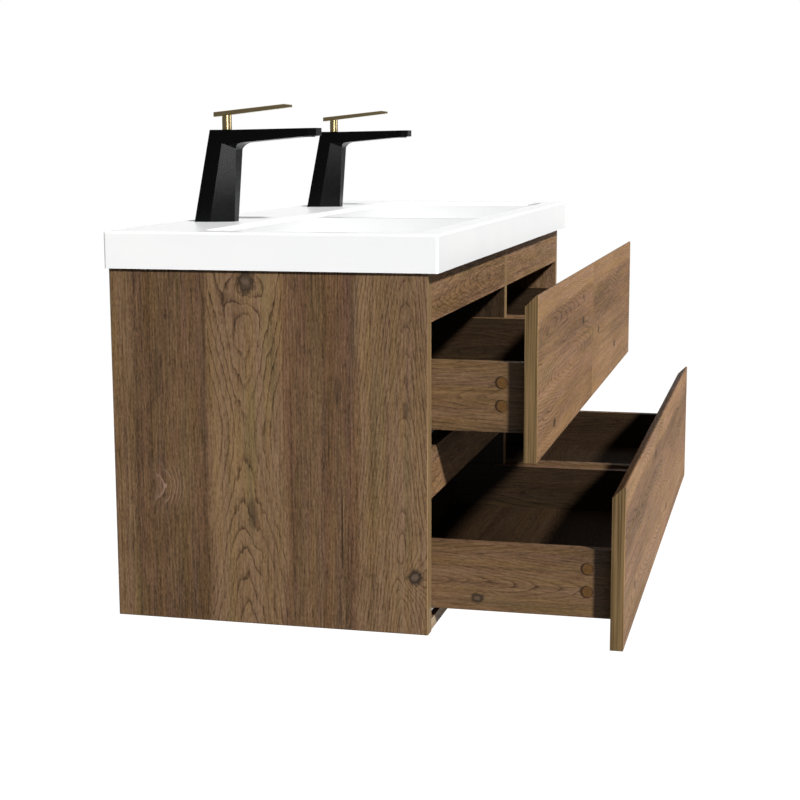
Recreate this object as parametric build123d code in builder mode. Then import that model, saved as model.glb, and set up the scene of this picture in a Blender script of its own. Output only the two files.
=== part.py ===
from build123d import *
import os

# Wall-hung double vanity cabinet, in millimetres. X runs along the width, the wall is the plane Y = 0,
# the drawers open towards -Y, +Z is up, and the origin is the centre of the wall bolts.

# Carcass
cabinet_width = 1200
cabinet_depth = 460
cabinet_height = 503
wall_gap = 5
panel_thickness = 22
rail_thickness = 18
top_rail_height = 68
middle_rail_height = 70
middle_rail_overlap = 10
bottom_thickness = 16
bottom_rise = 2
back_rail_thickness = 16
back_rail_height = 70
upper_back_rail_drop = 71
lower_back_rail_rise = 60
edge_break = 0.8

# Wall hanging
hanger_drop = 63
plate_width = 50
plate_height = 50
plate_steel = 2
plate_standoff = 8
plate_lip = 8
wall_bolt_diameter = 7
wall_bolt_pitch = 28
plate_side_gap = 2
hanger_width = 16
hanger_depth = 55
hanger_height = 44
hanger_setback = 15
hook_width = 8
hook_steel = 5.5
hook_tip = 3
hook_reach = 6
hook_gap = 0.3

# Drawers
front_thickness = 18
front_lip = 3
front_drop = 3
front_gap = 2
front_seam = 3
finger_gap = 27
drawer_board = 16
drawer_side_height = 96
drawer_length = 350
drawer_bottom_thickness = 12
drawer_side_gap = 5
runner_recess = 13
upper_opening = 130
lower_opening = 250

# Cam locks that hold the fronts
cam_diameter = 18
cam_depth = 12.5
cam_recess = 0.6
cam_setback = 36
cam_height = 36
cam_pitch = 32
bolt_diameter = 7
bolt_overrun = 2
thread_diameter = 5
thread_length = 11
fit_gap = 0.1

# Concealed runners
box_clearance = 15
runner_drop = 3.5
runner_steel = 2
runner_channel = 18
runner_clear = 3
runner_lip = 4
runner_flange = 20
runner_end_gap = 3
intermediate_shortfall = 26
slide_gap = 0.3
screw_diameter = 4
screw_head_diameter = 7.6
screw_head_height = 2
screw_web = 4
screw_setback = 50
screw_rise = 9

# Washbasin
basin_thickness = 52
basin_side_overhang = 4
basin_front_overhang = 15
basin_wall = 20
deck_thickness = 14
deck_depth = 130
rim_side = 44
rim_front = 40
ridge_width = 30
ridge_drop = 7
bowl_depth = 95
bowl_shell = 10
bowl_corner = 30
bowl_taper = 8
bowl_floor_fillet = 14
basin_edge_fillet = 3
rim_fillet = 4
divider_clear = 6

# Wastes and traps
waste_setback = 255
waste_flange_diameter = 64
waste_flange_height = 3
waste_diameter = 44
waste_wall = 4
waste_tail = 22
spider_drop = 5
spider_thickness = 4
waste_slots = 4
waste_slot_diameter = 10
plug_diameter = 52
plug_height = 5
plug_stem_diameter = 8
plug_travel = 8
running_gap = 0.05
socket_wall = 3
socket_clear = 2
pipe_diameter = 32
pipe_wall = 2
pipe_bend = 35
trap_setback = 57
trap_diameter = 60
trap_wall = 3
trap_height = 100
trap_drop = 67
trap_dip = 75
outlet_drop = 28
outlet_boss = 10
outlet_step = 0.5
outlet_reach = 30

# Taps
tap_spread = 600
tap_setback = 64.7
tap_width = 50
tap_height = 141.6
tap_back = 35
tap_front = 25.5
tap_top_back = 7
tap_neck_front = 32.5
spout_reach = 161
spout_rise = 2.2
spout_tip_height = 11.3
spout_root_height = 20.6
spout_chamfer = 10
neck_fillet = 13
facet_start = 10
facet_lean = 26
facet_slope = 0.44
facet_top = 121
facet_ramp = 11
facet_ramp_width = 12.5
spindle_setback = 12.5
spindle_diameter = 30
spindle_height = 22
spindle_flush = 0.3
pivot_drop = 10
barrel_diameter = 12
stem_diameter = 15
stem_lift = 3.5
pocket_back = 12
lever_back = 19.2
lever_front = 104
lever_width = 16
lever_back_height = 19.8
lever_tip_height = 33.6
lever_back_thickness = 7.3
lever_tip_thickness = 6
lever_tip_bevel = 2
lever_bevel_length = 9
lever_edge = 0.4
cartridge_height = 22
cartridge_gap = 0.3
aerator_diameter = 20
aerator_height = 4
aerator_drop = 2.3
aerator_setback = 16
shank_diameter = 33
tap_hole_diameter = 35
shank_length = 53
shank_socket = 8
shank_nut_diameter = 50
shank_nut_height = 8
shank_nut_side_count = 6
inlet_diameter = 8.5
inlet_depth = 15
inlet_pitch = 14

# Levels and places worked out from the sizes above
half_width = cabinet_width / 2
carcass_back = -wall_gap
carcass_front = carcass_back - cabinet_depth
carcass_top = hanger_drop
carcass_bottom = carcass_top - cabinet_height
side_inner = half_width - panel_thickness
bottom_top = carcass_bottom + bottom_rise + bottom_thickness
back_rail_front = carcass_back - back_rail_thickness
front_height = (cabinet_height + front_drop - 2 * finger_gap) / 2
lower_front_bottom = carcass_bottom - front_drop
upper_front_bottom = lower_front_bottom + front_height + finger_gap
middle_rail_top = upper_front_bottom + middle_rail_overlap
box_rise = front_drop + bottom_rise + bottom_thickness + box_clearance
runner_inset = drawer_side_gap + drawer_board + runner_clear
runner_width = runner_channel + 2 * runner_steel
runner_length = drawer_length - runner_end_gap
deck_top = carcass_top + basin_thickness
basin_front = carcass_front - basin_front_overhang
basin_half = half_width + basin_side_overhang
bowl_width = basin_half - rim_side - ridge_width / 2
bowl_length = -basin_front - rim_front - deck_depth
bowl_x = ridge_width / 2 + bowl_width / 2
bowl_y = basin_front + rim_front + bowl_length / 2
bowl_floor = deck_top - bowl_depth
bowl_under = bowl_floor - bowl_shell
tap_x = tap_spread / 2
tap_y = -tap_setback
waste_y = -waste_setback
columns = {"left": -1, "right": 1}
rows = {
    "upper": (upper_front_bottom, upper_opening),
    "lower": (lower_front_bottom, lower_opening),
}
screw_bite = panel_thickness / 2 - screw_web
screw_spots = [carcass_front + screw_setback, carcass_front + runner_length - screw_setback]

os.makedirs("parts", exist_ok=True)


def save(part, name):
    """Labels a finished piece and writes it."""
    part.label = name
    export_step(part, f"parts/{name}.step")


def rectangle(low, high):
    """Draws a rectangle between two corners of the sketch plane."""
    with Locations(((low[0] + high[0]) / 2, (low[1] + high[1]) / 2)):
        Rectangle(abs(high[0] - low[0]), abs(high[1] - low[1]))


def board(x_span, y_span, z_span):
    """A plain board between the given limits."""
    with BuildPart() as piece:
        with BuildSketch(Plane.XY.offset(z_span[0])):
            rectangle((x_span[0], y_span[0]), (x_span[1], y_span[1]))
        extrude(amount=z_span[1] - z_span[0])
    return piece.part


def bay(column):
    """The inner faces of a column's walls, the left one first."""
    inner = panel_thickness / 2
    if columns[column] < 0:
        return -side_inner, -inner
    return inner, side_inner


def box_bottom(row):
    """The lower edge of a row's drawer sides."""
    return rows[row][0] + box_rise


def screw_points():
    """Where runner screws enter a panel, as Y and Z."""
    levels = [box_bottom(row) + screw_rise for row in rows]
    return [(spot, level) for spot in screw_spots for level in levels]


# Carcass boards
def side_panel(side):
    """An outer panel with pilot holes for the runner screws on its inner face."""
    with BuildPart() as panel:
        with BuildSketch(Plane.XY.offset(carcass_bottom)):
            rectangle((side * half_width, carcass_front), (side * side_inner, carcass_back))
        extrude(amount=cabinet_height)
        outer_face = panel.faces().sort_by(Axis.X)[0 if side < 0 else -1]
        chamfer(outer_face.edges(), length=edge_break)
        with BuildSketch(Plane.YZ.offset(side * side_inner)):
            with Locations(screw_points()):
                Circle(screw_diameter / 2 + fit_gap)
        extrude(amount=side * screw_bite, mode=Mode.SUBTRACT)
    return panel.part


for column, side in columns.items():
    save(side_panel(side), f"{column}_side_panel")

divider_profile = [
    (carcass_front, bottom_top),
    (carcass_front, carcass_top),
    (carcass_front + rail_thickness, carcass_top),
    (carcass_front + rail_thickness, bowl_under - divider_clear),
    (back_rail_front, bowl_under - divider_clear),
    (back_rail_front, bottom_top),
]
with BuildPart() as centre_divider:
    with BuildSketch(Plane.YZ.offset(-panel_thickness / 2)):
        with BuildLine():
            Polyline(divider_profile, close=True)
        make_face()
    extrude(amount=panel_thickness)
    for face_side in columns.values():
        with BuildSketch(Plane.YZ.offset(face_side * panel_thickness / 2)):
            with Locations(screw_points()):
                Circle(screw_diameter / 2 + fit_gap)
        extrude(amount=-face_side * screw_bite, mode=Mode.SUBTRACT)
save(centre_divider.part, "centre_divider")

bottom_panel = board(
    (-side_inner, side_inner),
    (carcass_front, carcass_back),
    (bottom_top - bottom_thickness, bottom_top),
)
save(bottom_panel, "bottom_panel")

rail_depth = (carcass_front, carcass_front + rail_thickness)
for column in columns:
    top_rail = board(bay(column), rail_depth, (carcass_top - top_rail_height, carcass_top))
    save(top_rail, f"{column}_top_rail")
    middle_rail = board(
        bay(column), rail_depth, (middle_rail_top - middle_rail_height, middle_rail_top)
    )
    save(middle_rail, f"{column}_middle_rail")

back_rail_bottoms = [
    carcass_top - upper_back_rail_drop - back_rail_height,
    bottom_top + lower_back_rail_rise,
]
with BuildPart() as back_rails:
    for level in back_rail_bottoms:
        with BuildSketch(Plane.XY.offset(level)):
            rectangle((-side_inner, back_rail_front), (side_inner, carcass_back))
        extrude(amount=back_rail_height)
save(back_rails.part, "back_rails")

# Wall plates screwed to the wall, and the cabinet hangers that hook over their lips
plate_outer = side_inner - plate_side_gap
plate_centre = plate_outer - plate_width / 2
plate_top = plate_height / 2
lip_top = plate_top + plate_lip
plate_profile = [
    (0, -plate_top),
    (0, plate_top),
    (plate_steel - plate_standoff, plate_top),
    (plate_steel - plate_standoff, lip_top),
    (-plate_standoff, lip_top),
    (-plate_standoff, plate_top - plate_steel),
    (-plate_steel, plate_top - plate_steel),
    (-plate_steel, -plate_top),
]
with BuildPart() as wall_plates:
    for side in columns.values():
        with BuildSketch(Plane.YZ.offset(side * plate_centre - plate_width / 2)):
            with BuildLine():
                Polyline(plate_profile, close=True)
            make_face()
        extrude(amount=plate_width)
    with BuildSketch(Plane.XZ):
        with GridLocations(2 * plate_centre, wall_bolt_pitch, 2, 2):
            Circle(wall_bolt_diameter / 2)
    extrude(amount=plate_steel, mode=Mode.SUBTRACT)
save(wall_plates.part, "wall_plates")

hook_under = lip_top + hook_gap
hook_back = plate_steel - plate_standoff + hook_gap
hanger_rear = -hanger_setback
with BuildPart() as cabinet_hangers:
    for side in columns.values():
        hanger_inner = side * (side_inner - hanger_width)
        hook_edge = side * (side_inner - hanger_width / 2)
        with BuildSketch(Plane.XY.offset(hook_under + hook_steel - hanger_height)):
            rectangle((side * side_inner, hanger_rear - hanger_depth), (hanger_inner, hanger_rear))
        extrude(amount=hanger_height)
        with BuildSketch(Plane.YZ.offset(hook_edge - hook_width / 2)):
            rectangle((hanger_rear, hook_under), (hook_back + hook_tip, hook_under + hook_steel))
            rectangle((hook_back, hook_under - hook_reach), (hook_back + hook_tip, hook_under))
        extrude(amount=hook_width)
save(cabinet_hangers.part, "cabinet_hangers")

# Runners: each drawer has one at both sides, and s is the distance inwards from the bay's wall
channel_start = runner_inset + runner_steel
channel_end = channel_start + runner_channel
runner_end = runner_inset + runner_width


def runner_bars(wall, inward, bars):
    """Draws the bars of a runner's section, each given as (s, z) corners."""
    for low, high in bars:
        rectangle((wall + inward * low[0], low[1]), (wall + inward * high[0], high[1]))


def runner_walls(column):
    """The two walls of a bay, each with the direction that leads into the bay."""
    left_wall, right_wall = bay(column)
    return [(left_wall, 1), (right_wall, -1)]


def cabinet_rail_bars(level):
    """An angle that stands against the wall, with two lips that guide the intermediate rail."""
    floor = level - runner_drop
    lip = floor + runner_steel + runner_lip
    return [
        ((0, floor), (runner_steel, level + runner_flange)),
        ((0, floor), (runner_end, floor + runner_steel)),
        ((runner_inset, floor), (channel_start, lip)),
        ((channel_end, floor), (runner_end, lip)),
    ]


def intermediate_bars(level):
    """A channel that runs between the cabinet rail's lips."""
    floor = level - runner_drop + runner_steel + slide_gap
    top = level + runner_recess - runner_steel - slide_gap
    start = channel_start + slide_gap
    end = channel_end - slide_gap
    return [
        ((start, floor), (end, floor + runner_steel)),
        ((start, floor), (start + runner_steel, top)),
        ((end - runner_steel, floor), (end, top)),
    ]


def drawer_rail_bars(level):
    """An upturned channel under the drawer bottom, which covers the intermediate rail."""
    top = level + runner_recess
    foot = level - runner_drop + runner_steel + runner_lip + slide_gap
    return [
        ((runner_inset, top - runner_steel), (runner_end, top)),
        ((runner_inset, foot), (channel_start, top)),
        ((channel_end, foot), (runner_end, top)),
    ]


def runner_pair(column, bars, start, length):
    """The left and right rails of one drawer, from their front end towards the wall."""
    with BuildPart() as pair:
        for wall, inward in runner_walls(column):
            with BuildSketch(Plane.XZ.offset(-start)):
                runner_bars(wall, inward, bars)
            extrude(amount=-length)
    return pair.part


with BuildPart() as cabinet_rails:
    for column in columns:
        for row in rows:
            add(runner_pair(column, cabinet_rail_bars(box_bottom(row)), carcass_front, runner_length))
    for column in columns:
        for wall, inward in runner_walls(column):
            with BuildSketch(Plane.YZ.offset(wall)):
                with Locations(screw_points()):
                    Circle(screw_diameter / 2 + fit_gap)
            extrude(amount=inward * runner_steel, mode=Mode.SUBTRACT)
save(cabinet_rails.part, "cabinet_rails")

with BuildPart() as runner_screws:
    for column in columns:
        for wall, inward in runner_walls(column):
            with BuildSketch(Plane.YZ.offset(wall + inward * runner_steel)):
                with Locations(screw_points()):
                    Circle(screw_head_diameter / 2)
            extrude(amount=inward * screw_head_height)
            with BuildSketch(Plane.YZ.offset(wall + inward * runner_steel)):
                with Locations(screw_points()):
                    Circle(screw_diameter / 2)
            extrude(amount=-inward * (runner_steel + screw_bite))
save(runner_screws.part, "runner_screws")


# Drawers, each open by its rest opening
def cam_spots(column, row):
    """The bolt axes of a drawer's cam locks: X, Z and the way the cam's face looks."""
    left_wall, right_wall = bay(column)
    level = box_bottom(row) + cam_height
    inset = drawer_side_gap + drawer_board / 2
    spots = []
    for lift in (0, cam_pitch):
        spots.append((left_wall + inset, level + lift, -1))
        spots.append((right_wall - inset, level + lift, 1))
    return spots


def drawer_front(column, row):
    """A front whose upper edge is bevelled down towards the back as a finger grip."""
    bottom, opening = rows[row]
    side = columns[column]
    back = carcass_front - front_gap - opening
    spots = cam_spots(column, row)
    with BuildPart() as front:
        with BuildSketch(Plane.XZ.offset(-back)):
            rectangle((side * half_width, bottom), (side * front_seam / 2, bottom + front_height))
        extrude(amount=front_thickness)
        grip_edge = front.edges().filter_by(Axis.X).group_by(Axis.Z)[-1].sort_by(Axis.Y)[-1]
        chamfer(grip_edge, length=front_thickness - front_lip)
        chamfer(front.faces().sort_by(Axis.Y)[0].edges(), length=edge_break)
        with BuildSketch(Plane.XZ.offset(-back)):
            with Locations([(axis_x, level) for axis_x, level, outward in spots]):
                Circle(thread_diameter / 2 + fit_gap)
        extrude(amount=thread_length, mode=Mode.SUBTRACT)
    return front.part


def drawer_side(column, row, outward):
    """A side board with cam holes in its outer face and bolt holes in its front end."""
    opening = rows[row][1]
    back = carcass_front - front_gap - opening
    left_wall, right_wall = bay(column)
    wall = left_wall if outward < 0 else right_wall
    outer = wall - outward * drawer_side_gap
    inner = outer - outward * drawer_board
    spots = [spot for spot in cam_spots(column, row) if spot[2] == outward]
    with BuildPart() as panel:
        with BuildSketch(Plane.XY.offset(box_bottom(row))):
            rectangle((outer, back), (inner, back + drawer_length))
        extrude(amount=drawer_side_height)
        with BuildSketch(Plane.YZ.offset(outer)):
            with Locations([(back + cam_setback, level) for axis_x, level, way in spots]):
                Circle(cam_diameter / 2)
        extrude(amount=-outward * (cam_recess + cam_depth), mode=Mode.SUBTRACT)
        with BuildSketch(Plane.XZ.offset(-back)):
            with Locations([(axis_x, level) for axis_x, level, way in spots]):
                Circle(bolt_diameter / 2 + fit_gap)
        extrude(amount=-cam_setback, mode=Mode.SUBTRACT)
    return panel.part


def cam_fittings(column, row):
    """The cam locks in the sides and the bolts that they pull on."""
    back = carcass_front - front_gap - rows[row][1]
    spots = cam_spots(column, row)
    cam_radius = cam_diameter / 2 - fit_gap
    socket_end = cam_setback + bolt_overrun
    with BuildPart() as cams:
        for axis_x, level, outward in spots:
            outer = axis_x + outward * drawer_board / 2
            with BuildSketch(Plane.YZ.offset(outer - outward * cam_recess)):
                with Locations((back + cam_setback, level)):
                    Circle(cam_radius)
            extrude(amount=-outward * cam_depth)
        with BuildSketch(Plane.XZ.offset(-back)):
            with Locations([(axis_x, level) for axis_x, level, outward in spots]):
                Circle(bolt_diameter / 2 + fit_gap)
        extrude(amount=-socket_end, mode=Mode.SUBTRACT)
    with BuildPart() as bolts:
        with BuildSketch(Plane.XZ.offset(-back)):
            with Locations([(axis_x, level) for axis_x, level, outward in spots]):
                Circle(bolt_diameter / 2)
        extrude(amount=-socket_end)
        with BuildSketch(Plane.XZ.offset(-back)):
            with Locations([(axis_x, level) for axis_x, level, outward in spots]):
                Circle(thread_diameter / 2)
        extrude(amount=thread_length)
    return Compound(children=[*cams.part.solids(), *bolts.part.solids()])


for column in columns:
    for row in rows:
        name = f"{row}_{column}_drawer"
        level = box_bottom(row)
        opening = rows[row][1]
        front_back = carcass_front - front_gap - opening
        box_end = front_back + drawer_length
        left_wall, right_wall = bay(column)
        side_total = drawer_side_gap + drawer_board
        inner_span = (left_wall + side_total, right_wall - side_total)
        floor = level + runner_recess
        save(drawer_front(column, row), f"{name}_front")
        save(drawer_side(column, row, -1), f"{name}_left_side")
        save(drawer_side(column, row, 1), f"{name}_right_side")
        back_span = (box_end - drawer_board, box_end)
        drawer_back = board(inner_span, back_span, (floor, level + drawer_side_height))
        save(drawer_back, f"{name}_back")
        bottom_span = (front_back, box_end - drawer_board)
        drawer_bottom = board(inner_span, bottom_span, (floor, floor + drawer_bottom_thickness))
        save(drawer_bottom, f"{name}_bottom")
        save(cam_fittings(column, row), f"{name}_cam_fittings")
        save(runner_pair(column, drawer_rail_bars(level), front_back, runner_length), f"{name}_rails")
        middle_start = carcass_front + intermediate_shortfall / 2 - opening / 2
        middle_length = runner_length - intermediate_shortfall
        intermediate = runner_pair(column, intermediate_bars(level), middle_start, middle_length)
        save(intermediate, f"{row}_{column}_intermediate_rails")


# Washbasin: a hollow slab with two bowls that hang into the carcass
def downward_plane(x, y, z):
    """A sketch plane whose normal points down."""
    return Plane(origin=(x, y, z), x_dir=(1, 0, 0), z_dir=(0, 0, -1))


bowl_start = deck_top - ridge_drop
with BuildPart() as washbasin:
    with BuildSketch(Plane.XY.offset(carcass_top)):
        rectangle((-basin_half, basin_front), (basin_half, 0))
    extrude(amount=basin_thickness)
    outer_edges = washbasin.edges().filter_by(Axis.Z) + washbasin.faces().sort_by(Axis.Z)[-1].edges()
    fillet(outer_edges, radius=basin_edge_fillet)
    with BuildSketch(Plane.XY.offset(carcass_top)):
        rectangle(
            (basin_wall - basin_half, basin_front + basin_wall),
            (basin_half - basin_wall, -basin_wall),
        )
    extrude(amount=basin_thickness - deck_thickness, mode=Mode.SUBTRACT)
    for side in columns.values():
        with BuildSketch(downward_plane(side * bowl_x, bowl_y, bowl_start)):
            RectangleRounded(
                bowl_width + 2 * bowl_shell, bowl_length + 2 * bowl_shell, bowl_corner + bowl_shell
            )
        extrude(amount=bowl_start - bowl_under, taper=bowl_taper)
    with BuildSketch(downward_plane(0, bowl_y, deck_top)):
        RectangleRounded(2 * bowl_width + ridge_width, bowl_length, bowl_corner)
    extrude(amount=ridge_drop, mode=Mode.SUBTRACT)
    for side in columns.values():
        with BuildSketch(downward_plane(side * bowl_x, bowl_y, bowl_start)):
            RectangleRounded(bowl_width, bowl_length, bowl_corner)
        extrude(amount=bowl_start - bowl_floor, taper=bowl_taper, mode=Mode.SUBTRACT)
    bowl_floors = washbasin.faces().filter_by(Axis.Z).group_by(Axis.Z)[1]
    fillet(bowl_floors.edges(), radius=bowl_floor_fillet)
    rim_edges = washbasin.faces().filter_by(Axis.Z).sort_by(Axis.Z)[-1].inner_wires().edges()
    fillet(rim_edges, radius=rim_fillet)
    with BuildSketch(Plane.XY.offset(deck_top)):
        with Locations([(side * tap_x, tap_y) for side in columns.values()]):
            Circle(tap_hole_diameter / 2)
    extrude(amount=-deck_thickness, mode=Mode.SUBTRACT)
    with BuildSketch(Plane.XY.offset(bowl_floor)):
        with Locations([(side * bowl_x, waste_y) for side in columns.values()]):
            Circle(waste_diameter / 2 + slide_gap)
    extrude(amount=-bowl_shell, mode=Mode.SUBTRACT)
save(washbasin.part, "washbasin")

# Wastes: a flange on the bowl floor, a tail below it and a spider inside that guides the plug's stem
waste_foot = bowl_under - waste_tail
waste_bore = waste_diameter / 2 - waste_wall
spider_top = bowl_floor - spider_drop
spider_foot = spider_top - spider_thickness
slot_ring = (waste_bore + plug_stem_diameter / 2) / 2
flange_top = bowl_floor + waste_flange_height
with BuildPart() as waste_bodies:
    for side in columns.values():
        with BuildSketch(Plane.XY.offset(bowl_floor)):
            with Locations((side * bowl_x, waste_y)):
                Circle(waste_flange_diameter / 2)
        extrude(amount=waste_flange_height)
        with BuildSketch(Plane.XY.offset(waste_foot)):
            with Locations((side * bowl_x, waste_y)):
                Circle(waste_diameter / 2)
        extrude(amount=bowl_floor - waste_foot)
        with BuildSketch(Plane.XY.offset(spider_top)):
            with Locations((side * bowl_x, waste_y)):
                Circle(waste_bore)
        extrude(amount=flange_top - spider_top, mode=Mode.SUBTRACT)
        with BuildSketch(Plane.XY.offset(waste_foot)):
            with Locations((side * bowl_x, waste_y)):
                Circle(waste_bore)
        extrude(amount=spider_foot - waste_foot, mode=Mode.SUBTRACT)
        with BuildSketch(Plane.XY.offset(spider_foot)):
            with Locations((side * bowl_x, waste_y)):
                Circle(plug_stem_diameter / 2 + running_gap)
                with PolarLocations(slot_ring, waste_slots):
                    Circle(waste_slot_diameter / 2)
        extrude(amount=spider_thickness, mode=Mode.SUBTRACT)
save(waste_bodies.part, "waste_bodies")

plug_under = flange_top + slide_gap
plug_foot = spider_foot - plug_travel


def waste_plug(side):
    """A push plug: a rounded cap on a stem that slides in the waste's spider."""
    with BuildPart() as plug:
        with BuildSketch(Plane.XY.offset(plug_under)):
            with Locations((side * bowl_x, waste_y)):
                Circle(plug_diameter / 2)
        extrude(amount=plug_height)
        fillet(plug.edges().group_by(Axis.Z)[-1], radius=plug_height / 2)
        with BuildSketch(Plane.XY.offset(plug_foot)):
            with Locations((side * bowl_x, waste_y)):
                Circle(plug_stem_diameter / 2)
        extrude(amount=plug_under - plug_foot)
    return plug.part


for column, side in columns.items():
    save(waste_plug(side), f"{column}_waste_plug")

# Traps: a socket under the waste, a flat pipe to the back, a bottle and an outlet into the wall
pipe_radius = pipe_diameter / 2
pipe_bore = pipe_radius - pipe_wall
pipe_hole = pipe_radius + slide_gap
socket_bore = waste_diameter / 2 + slide_gap
socket_foot = waste_foot - pipe_diameter
socket_top = bowl_under - socket_clear
pipe_axis = socket_foot + pipe_wall + pipe_radius
trap_y = -trap_setback
trap_top = pipe_axis - trap_drop
trap_foot = trap_top - trap_height
trap_bore = trap_diameter / 2 - trap_wall
dip_end = trap_top - trap_dip
outlet_axis = trap_top - outlet_drop
boss_length = trap_diameter / 2 + outlet_boss
spigot_radius = pipe_radius - outlet_step
spigot_start = trap_y + trap_bore
outlet_start = trap_y + boss_length


def trap_inlet(side):
    """The hollow pipe from the waste's tail to the end that dips into the bottle."""
    pipe_x = side * bowl_x
    inlet_plane = Plane(origin=(pipe_x, waste_y, pipe_axis), z_dir=(0, 1, 0))
    with BuildLine(Plane.YZ.offset(pipe_x)) as route:
        FilletPolyline((waste_y, pipe_axis), (trap_y, pipe_axis), (trap_y, dip_end), radius=pipe_bend)
    with BuildPart() as pipe:
        with BuildSketch(inlet_plane):
            Circle(pipe_radius)
        sweep(path=route.wire())
        with BuildSketch(Plane.XY.offset(socket_foot)):
            with Locations((pipe_x, waste_y)):
                Circle(socket_bore + socket_wall)
        extrude(amount=socket_top - socket_foot)
        with BuildSketch(inlet_plane):
            Circle(pipe_bore)
        sweep(path=route.wire(), mode=Mode.SUBTRACT)
        with BuildSketch(Plane.XY.offset(socket_foot + socket_wall)):
            with Locations((pipe_x, waste_y)):
                Circle(socket_bore)
        extrude(amount=socket_top - socket_foot - socket_wall, mode=Mode.SUBTRACT)
    return pipe.part


with BuildPart() as trap_pipes:
    for side in columns.values():
        add(trap_inlet(side))
        with BuildSketch(Plane.XZ.offset(-outlet_start)):
            with Locations((side * bowl_x, outlet_axis)):
                Circle(pipe_radius)
                Circle(pipe_bore, mode=Mode.SUBTRACT)
        extrude(amount=outlet_start - outlet_reach)
        with BuildSketch(Plane.XZ.offset(-outlet_start)):
            with Locations((side * bowl_x, outlet_axis)):
                Circle(spigot_radius)
                Circle(pipe_bore, mode=Mode.SUBTRACT)
        extrude(amount=outlet_start - spigot_start)
save(trap_pipes.part, "trap_pipes")

with BuildPart() as trap_bodies:
    for side in columns.values():
        with BuildSketch(Plane.XY.offset(trap_foot)):
            with Locations((side * bowl_x, trap_y)):
                Circle(trap_diameter / 2)
        extrude(amount=trap_height)
        with BuildSketch(Plane.XZ.offset(-trap_y)):
            with Locations((side * bowl_x, outlet_axis)):
                Circle(pipe_radius + trap_wall)
        extrude(amount=-boss_length)
        with BuildSketch(Plane.XY.offset(trap_foot + trap_wall)):
            with Locations((side * bowl_x, trap_y)):
                Circle(trap_bore)
        extrude(amount=trap_height - 2 * trap_wall, mode=Mode.SUBTRACT)
        with BuildSketch(Plane.XY.offset(trap_top)):
            with Locations((side * bowl_x, trap_y)):
                Circle(pipe_hole)
        extrude(amount=-trap_wall, mode=Mode.SUBTRACT)
        with BuildSketch(Plane.XZ.offset(-trap_y)):
            with Locations((side * bowl_x, outlet_axis)):
                Circle(spigot_radius + slide_gap)
        extrude(amount=-boss_length, mode=Mode.SUBTRACT)
save(trap_bodies.part, "trap_bodies")

# Taps: heights are above the deck, and Y is measured from the tap's centre
spout_tip_top = tap_height + spout_rise
spout_tip_under = spout_tip_top - spout_tip_height
tap_profile = [
    (tap_back, 0),
    (tap_top_back, tap_height),
    (-tap_neck_front, tap_height),
    (-spout_reach, spout_tip_top),
    (-spout_reach, spout_tip_under),
    (-tap_neck_front, tap_height - spout_root_height),
    (-tap_front, 0),
]
half_tap = tap_width / 2
spindle_y = -spindle_setback
pivot_height = tap_height - pivot_drop
spindle_top = tap_height - spindle_flush
spindle_foot = spindle_top - spindle_height
cartridge_foot = spindle_foot - cartridge_gap - cartridge_height
barrel_length = stem_diameter
pocket_half = stem_diameter / 2 + slide_gap
aerator_foot = spout_tip_under - aerator_drop
aerator_y = aerator_setback - spout_reach


def tap_plane(side, height):
    """A level plane above the deck, centred on one tap."""
    return Plane(origin=(side * tap_x, tap_y, deck_top + height))


def tap_section(side):
    """The upright plane through one tap's middle, whose sketches take Y and Z."""
    return Plane(origin=(side * tap_x, tap_y, deck_top), x_dir=(0, 1, 0), z_dir=(1, 0, 0))


def tap_elevation(side):
    """The upright plane across one tap, whose sketches take X and Z."""
    return Plane(origin=(side * tap_x, tap_y, deck_top), x_dir=(1, 0, 0), z_dir=(0, -1, 0))


def facet_tool(side, way):
    """The wedge cut off one side of the column, which leaves a leaning facet under the spout."""
    depth = tap_width
    corner = [
        (way * half_tap, facet_start),
        (way * half_tap, facet_start - depth),
        (way * (half_tap - facet_slope * depth), facet_start - depth),
    ]
    ramp = [
        (way * half_tap, 0),
        (way * half_tap, facet_top),
        (way * (half_tap - facet_ramp_width), facet_top - facet_ramp),
        (0, facet_top - facet_ramp * half_tap / facet_ramp_width),
        (0, 0),
    ]
    with BuildPart() as tool:
        with BuildSketch(tap_plane(side, 0)):
            with BuildLine():
                Polyline(corner, close=True)
            make_face()
        extrude(amount=tap_height, dir=(0, -facet_lean, tap_height))
        with BuildSketch(tap_elevation(side)):
            with BuildLine():
                Polyline(ramp, close=True)
            make_face()
        extrude(amount=spout_reach, both=True, mode=Mode.INTERSECT)
    return tool.part


def tap_body(side):
    """The column and spout, bored for the spindle, the cartridge, the aerator and the shank."""
    with BuildPart() as body:
        with BuildSketch(tap_section(side)):
            with BuildLine():
                Polyline(tap_profile, close=True)
            make_face()
        extrude(amount=half_tap, both=True)
        tip_edges = body.faces().sort_by(Axis.Y)[0].edges().filter_by(Axis.Z)
        chamfer(tip_edges, length=spout_chamfer)
        inner_corner = body.edges().filter_by(Axis.X).group_by(Axis.Z)[1]
        fillet(inner_corner, radius=neck_fillet)
        for way in columns.values():
            add(facet_tool(side, way), mode=Mode.SUBTRACT)
        with BuildSketch(tap_plane(side, tap_height)):
            with Locations((0, spindle_y)):
                Circle(spindle_diameter / 2 + running_gap)
        extrude(amount=cartridge_foot - tap_height, mode=Mode.SUBTRACT)
        with BuildSketch(tap_plane(side, aerator_foot + aerator_height)):
            with Locations((0, aerator_y)):
                Circle(aerator_diameter / 2 + fit_gap)
        extrude(amount=-2 * aerator_height, mode=Mode.SUBTRACT)
        with BuildSketch(tap_plane(side, 0)):
            Circle(shank_diameter / 2 + fit_gap)
        extrude(amount=shank_socket, mode=Mode.SUBTRACT)
    return body.part


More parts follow.
